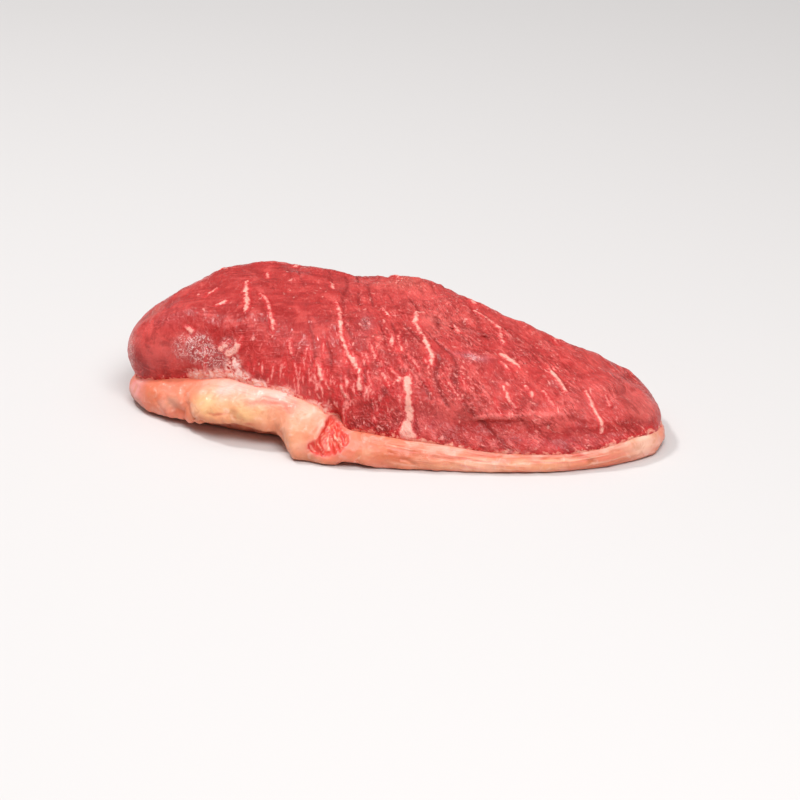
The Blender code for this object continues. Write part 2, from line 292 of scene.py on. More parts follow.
marbling = {
    # width, then points from the back of the streak to its front, in plan
    "streaks": (
        (1.5, (-79, 25), (-78, 6), (-78, -11)), (0.9, (-70, 11), (-67, 2), (-65, -12), (-63, -25)),
        (1.3, (-30, 0), (-28, -7), (-27, -34), (-23, -45)),
        (1.7, (-24, -43), (-22, -47), (-17, -55), (-17, -61)), (0.7, (-40, -44), (-39, -46), (-37, -51)),
        (0.5, (-54, -32), (-53, -37)), (2.5, (-80, -23.5), (-82.5, -25), (-86.5, -24)),
        (1.9, (-86.5, -22), (-90.5, -21.5)), (0.5, (-5, -2), (-2, -12)), (0.6, (-1, -30), (0, -41)),
        (0.6, (-12, -41), (-8.5, -50)), (1.2, (17, -5), (13, -6), (11.5, -15), (13.5, -22), (17.5, -37)),
        (1.6, (17, -36), (20.5, -49), (20.5, -53)), (0.7, (33, -13), (35, -22)),
        (0.6, (44, 7), (50.5, 1), (56.5, -13), (58.5, -29)),
        (2.2, (56, -39.5), (60, -44.5), (66.5, -50.5)), (0.5, (57, -49), (61, -54)),
        (1.8, (82, -46), (85, -52), (87, -55)), (1.0, (86, -53), (90, -61)),
        (0.5, (29, -63), (32, -67), (35, -70)), (0.5, (57, -63), (63, -72)), (0.6, (69, -62), (73, -67)),
        (0.5, (78, -64), (83.5, -70)), (0.9, (101, -58), (104.5, -66.5), (107.5, -72), (109, -73)),
        (0.6, (111, -58), (113, -63)), (1.1, (-1, -55.5), (3.5, -60), (1, -62)),
        (2.8, (8.5, -58), (8, -64), (8.5, -69.5)), (4.6, (8.5, -67), (8, -72), (7.5, -78)),
        (6.8, (7.5, -73), (7, -82)), (0.6, (-6.5, -55.5), (-2, -62)), (0.5, (2.5, -32), (5, -45)),
        (0.8, (-99, -19), (-100, -19.5)), (0.6, (-27, -57), (-24.5, -60)),
        (1.1, (-110, -10), (-107, -12)), (0.9, (-94, 1), (-89, 4)), (0.7, (-101, 13), (-95, 21)),
        (0.9, (-68.5, 42), (-67.5, 34)), (0.6, (-33, 30), (-32, 19)),
        (1.3, (-52, 74), (-51, 62), (-54, 52)),  # over the back
        (1.0, (-96, 62), (-93, 52), (-95, 46)), (1.1, (2, 56), (0, 46), (3, 36)),
        (0.9, (48, 32), (42, 22), (44, 14)), (0.8, (92, 2), (86, -8), (88, -15)),
    ),
    "step": 1.5,                    # between the points that carry a streak
    "wander": 0.6, "wanderSize": 4,
    "endWidth": 0.3, "unevenness": 1.1, "unevenSize": 3,
    # short strokes along the fibres, drawn at random: seed, count, range of lengths and of widths, how
    # far they stray in radians, their bow, and the place and radii of the ellipsoid they gather in
    "strokes": {
        "thread": (5, 260, (3, 11), (0.3, 0.7), 0.35, 0.02, (30, 10, 35), (120, 130, 60)),
        "fleck": (8, 260, (1, 4.5), (0.4, 1.1), 0.5, 0.05, (20, 10, 35), (150, 150, 80)),
        "drip": (4, 100, (3, 11), (0.7, 1.8), 0.12, 0.02, (-30, -51, 32), (44, 20, 13)),
    },
    "slant": 0.2, "fan": 0.0035,    # the fibres lean more towards the tip
}


def acrossFibres(x, y, z):          # constant along a fibre: x + (y + z) * (slant + fan * x)
    return x + (y + z) * (marbling["slant"] + marbling["fan"] * x)


def lineDistance(points, start, end):       # to a straight line between two points
    line = np.array(end, float) - start
    share = np.clip((points - start) @ line / max(line @ line, 1e-9), 0, 1)
    return np.linalg.norm(points - start - share[..., None] * line, axis=-1)


def pathDistance(points, path):             # to the nearest of the straight lines along a path
    return np.minimum.reduce([lineDistance(points, *ends) for ends in zip(path, path[1:])])


def patchShare(points, place, radii):
    # bell of the distance from a place, measured in the radii of an ellipsoid round it
    return peak(np.linalg.norm((points - place) / radii, axis=-1), 0, 1)


def strongest(points, patches, edge):       # the largest share of the patches, each edged by a function
    return np.maximum.reduce([share * edge(patchShare(points, place, radii))
                              for share, place, radii in patches])


def streakDistance(points, firstRing):
    # every streak is walked in short steps, each laid on the nearest point of the skin; the result is
    # the distance to the line through the steps less half the width there, which tapers to both ends
    distance = np.full(points.shape[:2], farAway)
    outer, outerDistance = points[firstRing:], distance[firstRing:]
    for number, (width, *corners) in enumerate(marbling["streaks"]):
        corners = np.array(corners, float)
        length = np.concatenate([[0], np.cumsum(np.linalg.norm(np.diff(corners, axis=0), axis=1))])
        share = np.linspace(0, 1, max(3, int(length[-1] / marbling["step"])))
        path = np.stack([np.interp(share * length[-1], length, column) for column in corners.T], axis=1)
        x, y = path.T / marbling["wanderSize"]
        path[:, 0] += marbling["wander"] * noise(x, y, number * 1.7)
        near = np.abs(outer[..., :2] - path.mean(axis=0)).max(axis=-1) < length[-1] / 2 + 12
        ground = outer[near]
        carried = [ground[np.argmin(((ground[:, :2] - spot) ** 2).sum(axis=1))] for spot in path]
        least, walked = marbling["endWidth"], share * length[-1]
        half = width / 2 * (least + (1 - least) * np.sin(np.pi * share) ** 0.6)
        half *= (1 + marbling["unevenness"] * noise(walked / marbling["unevenSize"], number * 2.3, 0.5))
        best = outerDistance[near]
        for start, end, size in zip(carried, carried[1:], half):
            best = np.minimum(best, lineDistance(ground, start, end) - size)
        outerDistance[near] = best
    return distance


def strokeDistance(points, normal, firstRing, seed, count, lengths, widths, stray, bow, place, radii):
    # distance to short bowed strokes laid on the skin along the fibres, less half their width, which
    # tapers to both ends; they are drawn at random, evenly over the area
    draw = np.random.default_rng(seed)
    ground, up = points[firstRing:], normal[firstRing:]
    area = np.linalg.norm(np.cross(np.gradient(ground, axis=0), np.gradient(ground, axis=1)), axis=-1)
    distance = np.full(points.shape[:2], farAway)
    outer = distance[firstRing:]
    area *= patchShare(ground, place, radii)
    for spot in draw.choice(area.size, count, p=area.ravel() / area.sum()):
        ring, station = divmod(spot, points.shape[1])
        middle, out = ground[ring, station], up[ring, station]
        slant = marbling["slant"] + marbling["fan"] * middle[0]
        along = np.cross(out, (1, slant, slant))
        side = np.cross(out, along)
        turn = draw.normal(0, stray)
        along = np.cos(turn) * along / np.linalg.norm(along) + np.sin(turn) * side / np.linalg.norm(side)
        half, width = draw.uniform(*lengths) / 2, draw.uniform(*widths)
        bend = draw.normal(0, bow)
        offset = ground - middle
        near = np.abs(offset).max(axis=-1) < half + 3
        forward = offset[near] @ along
        sideways = offset[near] @ np.cross(out, along) - bend * (forward ** 2 - half ** 2 / 3)
        beyond = np.maximum(np.abs(forward) - half, 0)
        size = width / 2 * np.sqrt(np.clip(1 - (forward / half) ** 2, 0, 1))
        outer[near] = np.minimum(outer[near], np.hypot(beyond, sideways) - size)
    return distance


def outward(grid, turned):          # unit normals of a grid that closes on itself along each ring
    around = np.roll(grid, -1, axis=1) - np.roll(grid, 1, axis=1)
    normal = np.cross(around, np.gradient(grid, axis=0))
    normal = -normal if turned else normal
    return normal / (np.linalg.norm(normal, axis=-1, keepdims=True) + 1e-9)


def addObject(name, shape):         # at the origin, in the scene
    made = bpy.data.objects.new(name, shape)
    bpy.context.scene.collection.objects.link(made)
    return made


def makeSkin(name, grid, turned, values, material):
    # quads between rings, and a fan to the middle point at either end; values are per point
    rings, stations = grid.shape[:2]
    ends = grid[0].mean(axis=0), grid[-1].mean(axis=0)
    points = np.vstack([grid.reshape(-1, 3), *ends]) * mm
    station = np.arange(stations)
    after = (station + 1) % stations
    starts = stations * np.arange(rings - 1)[:, None]
    quads = np.stack([starts + station, starts + after,
                      starts + stations + after, starts + stations + station], axis=-1).reshape(-1, 4)
    first, last = rings * stations, rings * stations + 1
    top = stations * (rings - 1)
    fans = np.vstack([np.stack([np.full(stations, first), after, station], axis=-1),
                      np.stack([top + station, top + after, np.full(stations, last)], axis=-1)])
    if turned:
        quads, fans = quads[:, ::-1], fans[:, ::-1]
    mesh = bpy.data.meshes.new(name)
    mesh.from_pydata(points, [], [*quads.tolist(), *fans.tolist()])
    mesh.shade_smooth()
    for label, value in values.items():
        value = np.concatenate([value.reshape((-1,) + value.shape[2:]),
                                value[:1].mean(axis=1), value[-1:].mean(axis=1)])
        kind, field = ("FLOAT", "value") if value.ndim == 1 else ("FLOAT_VECTOR", "vector")
        layer = mesh.attributes.new(label, kind, "POINT")
        layer.data.foreach_set(field, value.astype(np.float32).ravel())
    mesh.materials.append(material)
    print(name, "has", len(mesh.polygons), "faces")
    return addObject(name, mesh)


def hexColour(code):                # sRGB hex to linear
    parts = [int(code[k:k + 2], 16) / 255 for k in (0, 2, 4)]
    return (*[p / 12.92 if p <= 0.04045 else ((p + 0.055) / 1.055) ** 2.4 for p in parts], 1)


def addNode(tree, kind, sockets, out=0, **settings):
    # adds a node, sets it, links or fills its sockets by name or number, and returns one output
    made = tree.nodes.new("ShaderNode" + kind)
    for label, value in settings.items():
        setattr(made, label, value)
    for socket, value in sockets.items():
        if isinstance(value, bpy.types.NodeSocket):
            tree.links.new(value, made.inputs[socket])
        else:
            made.inputs[socket].default_value = value
    return made.outputs[out]


def makeMaterial(name, looks):
    # in order: marks read from the mesh, noises, lines along which a noise is one half, sums of two of
    # these, layers of colour over the painted tint, and a bump from a sum of ranged signals
    material = bpy.data.materials.new(name)
    material.use_nodes = True
    tree = material.node_tree
    shader = tree.nodes["Principled BSDF"]
    signals = {"place": addNode(tree, "TexCoord", {}, out=3)}
    for out, labels in ((1, looks["vectors"]), (2, looks["marks"])):
        for label in labels:
            signals[label] = addNode(tree, "Attribute", {}, out, attribute_name=label)
    for label, (vector, size, detail, distortion) in looks["noises"].items():
        size = [mm * part for part in np.broadcast_to(size, 3).tolist()]
        spread = addNode(tree, "Mapping", {0: signals[vector], 3: size}, vector_type="TEXTURE")
        signals[label] = addNode(tree, "TexNoise", {
            "Vector": spread, "Scale": 1, "Detail": detail, "Distortion": distortion})
    for label, source in looks["lines"].items():
        away = addNode(tree, "Math", {0: signals[source], 1: 0.5}, operation="SUBTRACT")
        signals[label] = addNode(tree, "Math", {0: away}, operation="ABSOLUTE")
    for label, (first, second, share) in looks["sums"].items():
        signals[label] = addNode(tree, "Math", {0: signals[second], 1: share, 2: signals[first]},
                                 operation="MULTIPLY_ADD")
    colour = signals["tint"]
    for code, share, signal, low, high, *within in looks["layers"]:
        amount = addNode(tree, "MapRange", {0: signals[signal], 1: low, 2: high, 4: share},
                         interpolation_type="SMOOTHSTEP")
        for label in within:
            amount = addNode(tree, "Math", {0: amount, 1: signals[label]}, operation="MULTIPLY")
        colour = addNode(tree, "Mix", {0: amount, 6: colour, 7: hexColour(code)}, out=2,
                         data_type="RGBA")
    height = 0.0
    for signal, low, high, rise, *within in looks["relief"]:
        part = addNode(tree, "MapRange", {0: signals[signal], 1: low, 2: high, 4: rise})
        for label in within:
            part = addNode(tree, "Math", {0: part, 1: signals[label]}, operation="MULTIPLY")
        height = addNode(tree, "Math", {0: part, 1: height}, operation="ADD")
    bump = addNode(tree, "Bump", {"Strength": looks["bump"], "Distance": mm, "Height": height})
    for output, socket in ((colour, "Base Color"), (bump, "Normal"), (bump, "Coat Normal")):
        tree.links.new(output, shader.inputs[socket])
    for socket, value in looks["shader"].items():
        shader.inputs[socket].default_value = value
    return material


# Raw beef, cut along its fibres: wet and red, paler where the fibres bunch, with painted shade in the
# hollows and painted highlights on the ridges, and soft pink fat between the bundles. The thin film of juice
# over it gives small sharp glints, which are also painted into the colour as white-pink lines.
beef = {
    "vectors": ("grain", "tint"),
    "marks": ("streak", "thread", "fleck", "drip", "froth", "rise", "glint", "lines", "ridge", "valley",
              "coarse"),
    # what each noise follows, the size of its patches in mm, detail and distortion
    "noises": {
        "mottle": ("place", 9, 3, 0.5),
        "bundle": ("grain", (5, 11, 9), 2, 1.0),
        "fibre": ("grain", (2.2, 3.8, 3.2), 2, 1.4),
        "crossing": ("place", (22, 5, 3.6), 2, 0.5),
        "swirl": ("place", 3.4, 1, 0.9),
        "wander": ("place", 5, 2, 0),
        "ragged": ("place", 1.6, 3, 0),
        "net": ("place", 3.1, 3, 1.6),
        "speck": ("grain", (1.4, 2.1, 1.9), 1, 0.8),
        "curds": ("place", (3.2, 3.2, 2.2), 3, 0.8),
        "brush": ("place", 4, 3, 0.5),
        "wet": ("grain", (2.6, 4.6, 3.6), 2, 0.5),
    },
    "lines": {"wrinkle": "crossing", "curl": "swirl", "web": "net"},
    # the first plus this share of the second
    "sums": {
        "rough": ("ragged", "wander", 1), "vein": ("streak", "rough", 2.5),
        "hair": ("thread", "rough", 0.8), "nick": ("fleck", "rough", 1.2),
        "run": ("drip", "rough", 1.4), "brushed": ("rise", "brush", -11),
        "hem": ("brushed", "rough", 4.5), "fringe": ("hem", "froth", -3),
    },
    # colour, share, the signal that it follows, where it starts and is full, and any mark it stays within
    "layers": (
        ("8c1f1e", 0.4, "mottle", 0.48, 0.36),
        ("e05852", 0.45, "mottle", 0.52, 0.64),
        ("96241f", 0.45, "bundle", 0.47, 0.33, "coarse"),
        ("e8625c", 0.5, "bundle", 0.53, 0.68, "coarse"),
        ("8c1f1e", 0.28, "fibre", 0.46, 0.34, "coarse"),
        ("f0807a", 0.42, "fibre", 0.56, 0.68, "coarse"),
        # fine wrinkles over the thick end; their thin pale crest lines are a painted highlight
        ("dc5450", 0.5, "wrinkle", 0.03, 0.0, "lines"),
        ("8f2424", 0.35, "crossing", 0.44, 0.34, "lines"),
        # painted shade in the valleys between the bundles
        ("851a1a", 0.75, "valley", 0.1, 0.7),
        # painted highlights along the ridges and the tops of the folds
        ("ee7670", 0.6, "ridge", 0.5, 1.0),
        ("ee7670", 0.3, "curl", 0.03, 0.0, "ridge"),
        # pale strokes along the fibres: partly fine threads of fat, partly painted wet highlights
        ("ee7670", 0.45, "hair", 1.2, 0.6),
        ("f39a90", 0.75, "nick", 1.6, 0.9),
        # small dark nicks, and brighter specks that are painted glints
        ("96211f", 0.6, "speck", 0.40, 0.33, "coarse"),
        ("f59a90", 0.6, "speck", 0.62, 0.72, "coarse"),
        # short pale runs down the front, partly painted wet highlights
        ("dc2f33", 0.4, "run", 3.0, 1.4),
        ("f28a82", 0.8, "run", 1.5, 0.7),
        ("fcb8ac", 0.75, "run", 0.8, 0.4),
        ("dc2f33", 0.4, "vein", 4.8, 3.2),
        ("ee8078", 0.8, "vein", 3.4, 2.6),
        ("fbb2a2", 0.9, "vein", 2.7, 2.0),
        ("dc2f33", 0.5, "fringe", 3.0, 0.5),
        ("f08c7c", 0.9, "fringe", 0.6, -0.2),
        ("f8b29c", 0.85, "fringe", -0.4, -1.4),
        ("f2988e", 0.9, "curds", 0.4, 0.47, "froth"),
        ("fed4ca", 0.95, "curds", 0.47, 0.58, "froth"),
        # painted glints: a grey-pink film, dark gaps and a net of bright lines where the wet surface catches
        # the lamp
        ("f08e8c", 0.34, "web", 0.0, 0.1, "glint"),
        ("982424", 0.6, "web", 0.06, 0.14, "glint"),
        ("ffe4de", 0.9, "web", 0.032, 0.008, "glint"),
    ),
    # signal, from, to, rise in mm, and any mark it stays within
    "relief": (
        ("fibre", 0, 1, 1.3, "coarse"), ("bundle", 0, 1, 1.6, "coarse"),
        ("wrinkle", 0.06, 0, 0.15, "lines"), ("wet", 0, 1, 1.0), ("speck", 0, 1, 0.5, "coarse"),
        ("web", 0.1, 0, 0.25, "glint"), ("vein", 3.2, 2.2, 0.3),
    ),
    "bump": 0.8,
    "shader": {
        "Roughness": 0.48, "IOR": 1.38, "Specular IOR Level": 0.25, "Coat Weight": 0.4,
        "Coat Roughness": 0.12, "Coat IOR": 1.34, "Subsurface Weight": 0.1,
        "Subsurface Radius": (1.0, 0.3, 0.2), "Subsurface Scale": 2 * mm,
    },
}


# Raw beef fat: soft, waxy and slightly moist, cream where it is thick, pinker where lean shows through,
# in thin layers along the rim, with a pale membrane over the top of the flap.
suet = {
    "vectors": ("layer", "tint"),
    "marks": ("drop", "tear", "torn", "sinew", "strand", "crease", "film", "layered", "bare"),
    "noises": {
        "clouds": ("place", 14, 3, 0.4),
        "lobes": ("place", 5, 3, 0.6),
        "layers": ("layer", (30, 30, 1.5), 3, 0.6),
        "stripes": ("layer", (26, 26, 0.9), 2, 0.4),
        "ragged": ("place", 1.5, 3, 0),
        "wander": ("place", 4.5, 2, 0),
        "fray": ("place", (2.4, 4, 6), 2, 0.6),
        "pores": ("place", 1.3, 2, 0),
    },
    "lines": {},
    "sums": {
        "rough": ("ragged", "wander", 1), "edge": ("drop", "rough", 7), "wound": ("tear", "rough", 0.9),
        "shred": ("strand", "rough", 0.5),
    },
    "layers": (
        ("dc8660", 0.35, "clouds", 0.5, 0.3),
        ("fdd3c2", 0.25, "clouds", 0.5, 0.72),
        ("f08a80", 0.6, "layers", 0.45, 0.33, "layered"),
        ("fcc3ab", 0.55, "layers", 0.54, 0.68, "layered"),
        ("dc8660", 0.4, "lobes", 0.46, 0.32, "bare"),
        ("fdd3c2", 0.3, "lobes", 0.56, 0.72),
        ("f08a80", 0.5, "stripes", 0.56, 0.68, "film"),
        # painted shade in the creases
        ("d8704c", 0.5, "crease", 1.0, 0.0),
        ("f08a80", 0.6, "edge", 7.4, 6.2),
        ("dc4a48", 0.9, "edge", 6.6, 5.8),
        ("f08a80", 0.5, "wound", 2.7, 1.1),
        ("dc3e30", 1.0, "wound", 1.5, 0.2),
        ("c9332f", 0.8, "fray", 0.46, 0.3, "torn"),
        ("f07a64", 0.6, "fray", 0.52, 0.66, "torn"),
        ("fa9c88", 0.6, "sinew", 0.5, 0.85),
        ("fcb29c", 1.0, "shred", 1.0, 0.3),
    ),
    "relief": (
        ("lobes", 0, 1, 0.8), ("layers", 0, 1, 0.6, "layered"), ("pores", 0, 1, 0.25),
    ),
    "bump": 0.6,
    "shader": {
        "Roughness": 0.5, "IOR": 1.45, "Specular IOR Level": 0.4, "Coat Weight": 0.22,
        "Coat Roughness": 0.2, "Subsurface Weight": 0.2, "Subsurface Radius": (1.0, 0.5, 0.3),
        "Subsurface Scale": 3 * mm,
    },
}


way = Plan(muscle["stations"])
body = muscleGrid(way)
rimWay = Plan(fat["stations"])
cap = fatGrid(rimWay)
both = np.vstack([body.reshape(-1, 3), cap.reshape(-1, 3)])
low, high = both.min(axis=0), both.max(axis=0)
cadMiddle = (np.array(cadBox[0]) + np.array(cadBox[1])) / 2 / mm
shift = np.append(cadMiddle[:2] - (low + high)[:2] / 2, 0)
body, cap = body + shift, cap + shift
print("forms worked out")


def walkedFrom(grid, ring):         # distance along each section from one ring, below zero before it
    step = np.linalg.norm(np.diff(grid, axis=0), axis=-1)
    walked = np.concatenate([np.zeros((1, grid.shape[1])), np.cumsum(step, axis=0)])
    return walked - walked[ring]


def painted(points, ground, patches, wander):
    # the ground colour, with every patch blended in by its share; noise moves the patches' edges
    ways = [noiseOver(points, 9, 1, shift) for shift in (0, (7.3, 0, 0), (0, 5.1, 0))]
    moved = points + wander * np.stack(ways, axis=-1)
    colour = np.broadcast_to(hexColour(ground)[:3], points.shape)
    for code, share, place, radii in patches:
        share = (share * patchShare(moved, place, radii))[..., None]
        colour = colour + (np.array(hexColour(code)[:3]) - colour) * share
    return colour


muscleDress = {
    "rolls": 0.55, "rollSize": 22,               # height and pitch in mm
    "wrinkles": 0.36, "wrinkleSize": (6, 13, 6),
    "ridges": 0.6, "flowSize": (5, 16, 8), "rippleSize": 6,
    "bundleSize": 9, "bundleDepth": 1.1, "bundleMiddle": 14, "bundleSpread": 60,
    "bundleWander": 0.9, "wanderSize": (28, 34, 28),
    "coarseFrom": -45, "coarseOver": 50, "coarseWander": 30, "smoothest": 0.25,
    "linesUpTo": 60, "linesOver": 90,
    # the patches in which each shows: size in mm, sharpness, lift, and shift of the noise
    "coarseWhere": (16, 2, 0.6, (0, 0, 5)), "flowWhere": (17, 2, 0.6), "rippleWhere": (13, 2, 0.3),
    "valleyWhere": ((12, 26, 18), 2, 0.4), "lineWhere": (20, 1, 0.6),
    "streakRise": 0.25, "streakEdge": 0.8,       # streaks stand up a little
    "moatDepth": 0.3, "moatAt": 1.9,             # with a slight dip along them
    "ground": "be3533",
    # colour, share, place and radii in mm, painted in this order
    "patches": (
        ("780e0c", 0.75, (-129, -4, 24), (10, 9, 8)),  # shaded hollow over the thick end's fat
        ("c23c3a", 0.6, (-117, -9, 25), (18, 10, 6)),
        ("de7670", 0.75, (-141, 6, 34), (5, 12, 14)),  # pale fibrous edge of the thick end, with a painted highlight along it
        ("e87464", 0.6, (-129, 15, 49), (7, 7, 4)), ("a84c50", 0.45, (-120, -1, 52), (9, 8, 5)),
        ("8a0c0c", 0.72, (-70, -14, 56), (24, 15, 9)),  # smooth full red between the veins
        ("981614", 0.5, (-92, -6, 54), (14, 12, 8)), ("961c1c", 0.55, (-38, -24, 56), (20, 16, 8)),
        ("a62a28", 0.64, (-86, 28, 57), (44, 34, 14)),  # deeper red over the thick end
        # painted light on the lower left of the thick end, which faces down and gets little light
        ("e6605a", 0.9, (-122, -6, 37), (17, 12, 9)),
        ("ba5a5e", 0.45, (-14, -22, 58), (5, 15, 5)),  # greyish film over the middle: a thin membrane, with its sheen painted in
        ("9c2022", 0.65, (8, -34, 54), (9, 15, 7)), ("961c1c", 0.6, (12, -49, 46), (8, 10, 8)),
        ("e8605c", 0.6, (20, 12, 57), (15, 15, 6)), ("ee726a", 0.7, (25, -12, 55), (12, 12, 7)),
        ("e2645e", 0.4, (-20, 30, 60), (14, 10, 5)), ("ec7a6c", 0.5, (7, 30, 60), (14, 8, 5)),
        ("8c1210", 0.8, (-11, -69, 20), (17, 7, 5.5)),  # shaded band over the rim
        ("8c1c1a", 0.6, (26, -77, 17), (9, 5, 4)), ("a02622", 0.6, (48, -80, 15), (9, 5, 2.5)),
        ("c04a50", 0.5, (20, -72, 24), (13, 6, 8)),
        ("d88c98", 0.5, (42, -47, 48), (7, 4, 3)),  # wet sheen
        ("ab3436", 0.45, (66, -34, 47), (9, 10, 5)), ("ea3e3e", 0.6, (83, -47, 41), (5, 6, 5)),
        ("841c20", 0.95, (122, -51, 29), (8, 7, 5)),  # painted shade in the dimple near the tip
        ("cb5252", 0.6, (96, -66, 31), (9, 6, 8)),
        ("a4292b", 0.38, (60, -77, 22), (24, 4, 3)),  # painted shade in the groove under the ledge
        # more painted shade along the groove and in a hollow by the tip
        ("ac2c2e", 0.5, (97, -74.5, 22), (8, 4, 3)), ("96202a", 0.5, (129, -63, 19), (6, 5, 3)),
        ("d4585c", 0.5, (74, -80, 15), (26, 4, 3)), ("e0605c", 0.5, (108, -58, 33), (16, 12, 8)),
        ("b14a52", 0.5, (93, -79, 14), (9, 4, 5)), ("9a3034", 0.5, (133, -60, 16), (5, 6, 3)),
        ("e27c76", 0.75, (136, -49, 22), (5, 10, 7)), ("e4706a", 0.45, (126, -40, 27), (12, 16, 10)),
        ("e2645e", 0.75, (34, -71, 30), (17, 9, 6)), ("e8706c", 0.5, (-50, -48, 30), (18, 9, 5)),
        ("e8746c", 0.6, (128, -57, 23), (12, 8, 6)), ("e06058", 0.35, (66, 2, 48), (22, 14, 8)),
        ("e26860", 0.4, (104, -20, 38), (12, 10, 7)), ("e8645f", 0.85, (88, -74, 27), (20, 9, 4.5)),
    ),
    "froth": (                      # of fat that rises over the muscle above the flap
        (1.0, (-103, -18, 25), (9, 4, 3)), (1.0, (-93, -22, 28), (5, 4, 3)),
        (1.0, (-84, -27, 33), (5, 4, 6)), (1.0, (-78, -32, 30.5), (5, 4, 3)),
        (0.9, (-70, -38, 29.5), (5, 4, 2.2)), (0.8, (-59, -45, 28), (9, 4, 2.2)),
        (0.5, (-42, -56, 24), (8, 5, 2.5)),
        (0.9, (7, -80, 12.5), (3.5, 4, 3.5)), (0.2, (30, -82, 12.5), (8, 4, 1.6)),
        (0.2, (58, -85, 10.5), (15, 4, 1.6)),
    ),
    "glints": (
        (1.0, (-103, -17, 41), (9, 9, 9)), (0.9, (-96, -20, 37), (9, 8, 7)),
        (0.5, (-87, -23, 45), (6, 6, 5)), (0.5, (-112, -13, 40), (6, 6, 8)),
        (0.6, (-141, 3, 30), (3, 7, 14)), (0.6, (42, -47, 48), (5, 3, 3)),
        (0.4, (-14, -22, 58), (3, 8, 4)), (0.5, (84, -58, 36), (3, 3, 5)),
    ),
    # height, half width, then the points of a low ridge, or a furrow where the height is below zero
    "folds": (
        (1.2, 1.9, (42, -74.5, 26), (50, -75, 27.8), (60, -75, 27.2), (72, -75, 28.6), (84, -74.5, 27.8)),
        (-1.3, 2.2, (44, -76, 23.5), (58, -76.5, 24), (76, -76.5, 23.5), (88, -75.5, 23)),
        (-0.9, 1.6, (92, -74.5, 25), (98, -74, 23.5), (105, -73, 22)),
        (-1.4, 3.2, (116, -54, 31.5), (122, -48, 29.5), (128.5, -42, 27.5)),
        (0.5, 2.2, (107, -66.5, 27.3), (115, -62, 28), (122.5, -58, 26.5), (128, -52, 25)),
        (-1.2, 1.8, (123, -66, 20.5), (129, -63, 19), (133, -61.5, 17)),
        (-0.9, 1.1, (-12, -5, 59), (-12, -22, 58), (-7, -40, 54)),
        (-0.9, 1.1, (4, 4, 58), (6, -12, 57), (10, -30, 55), (12, -41, 52)),
        (-0.7, 1.3, (-14, -66, 24), (-2, -70, 22), (4, -71.5, 19)),
    ),
}


def dressMuscle():
    look = muscleDress
    x, y, z = np.moveaxis(body, -1, 0)
    across = acrossFibres(x, y, z)
    grain = np.stack([across, y, z], axis=-1)
    normal, first = outward(body, False), muscle["seamRings"]
    rise, streak = walkedFrom(body, first - 1), streakDistance(body, first)
    strokes = {label: strokeDistance(body, normal, first, *kind)
               for label, kind in marbling["strokes"].items()}
    print("marbling laid")
    height = look["rolls"] * noiseOver(body, look["rollSize"], 2)
    height += look["wrinkles"] * noiseOver(grain, look["wrinkleSize"], 2)
    # coarse: how far the fibres stand out, least over the thick end, and in patches
    coarse = ease((x - look["coarseFrom"] + look["coarseWander"] * noiseOver(body, 30)) / look["coarseOver"])
    coarse = look["smoothest"] + (1 - look["smoothest"]) * coarse
    coarse *= (0.45 + 0.55 * patchy(body, *look["coarseWhere"]))
    # ridges: the zero lines of a noise drawn out along the fibres, and of an even one, in patches; they also
    # carry a painted highlight
    flow = furrow(noiseOver(grain, look["flowSize"]), 3.5) * patchy(body, *look["flowWhere"])
    ripple = furrow(noiseOver(body, look["rippleSize"]), 3) * patchy(body, *look["rippleWhere"])
    ridge = np.maximum(flow, 0.8 * ripple) * (0.2 + 0.8 * coarse)
    height += look["ridges"] * ridge
    # valleys between the bundles: narrow where the sine of the place across the fibres passes zero; also
    # painted darker as shade
    turn = across / look["bundleSize"] + look["bundleWander"] * noiseOver(grain, look["wanderSize"])
    valley = furrow(np.sin(np.pi * turn), 2.2) * patchy(grain, *look["valleyWhere"])
    valley *= (0.3 + 0.7 * peak(x, look["bundleMiddle"], look["bundleSpread"]))
    height -= look["bundleDepth"] * valley
    height += look["streakRise"] * peak(np.maximum(streak, 0), 0, look["streakEdge"])
    height -= look["moatDepth"] * peak(streak, look["moatAt"], look["streakEdge"])
    wobble, strength = 0.9 * noiseOver(body, 4), 0.75 + 0.6 * noiseOver(body, 8, 1, (0, 0, 2))
    for lift, half, *path in look["folds"]:
        fold = peak(pathDistance(body, path) + wobble, 0, half) * strength
        height += lift * fold
        # raised folds share the painted ridge highlight
        ridge = np.maximum(ridge, lift * fold)
    height *= ease(rise / 3)        # none at the seam
    skin = body + normal * height[..., None]
    values = {"grain": grain * mm, "streak": streak, **strokes, "rise": rise,
              "glint": strongest(body, look["glints"], lambda share: ease(2 * share - 0.4)),
              "froth": strongest(body, look["froth"], lambda share: ease(2 * share)),
              "lines": ease((look["linesUpTo"] - x) / look["linesOver"]) * patchy(body, *look["lineWhere"]),
              "ridge": ridge, "valley": valley, "coarse": coarse,
              "tint": painted(body, look["ground"], look["patches"], 4)}
    return makeSkin("muscle", skin, False, values, makeMaterial("rawBeefMuscle", beef))


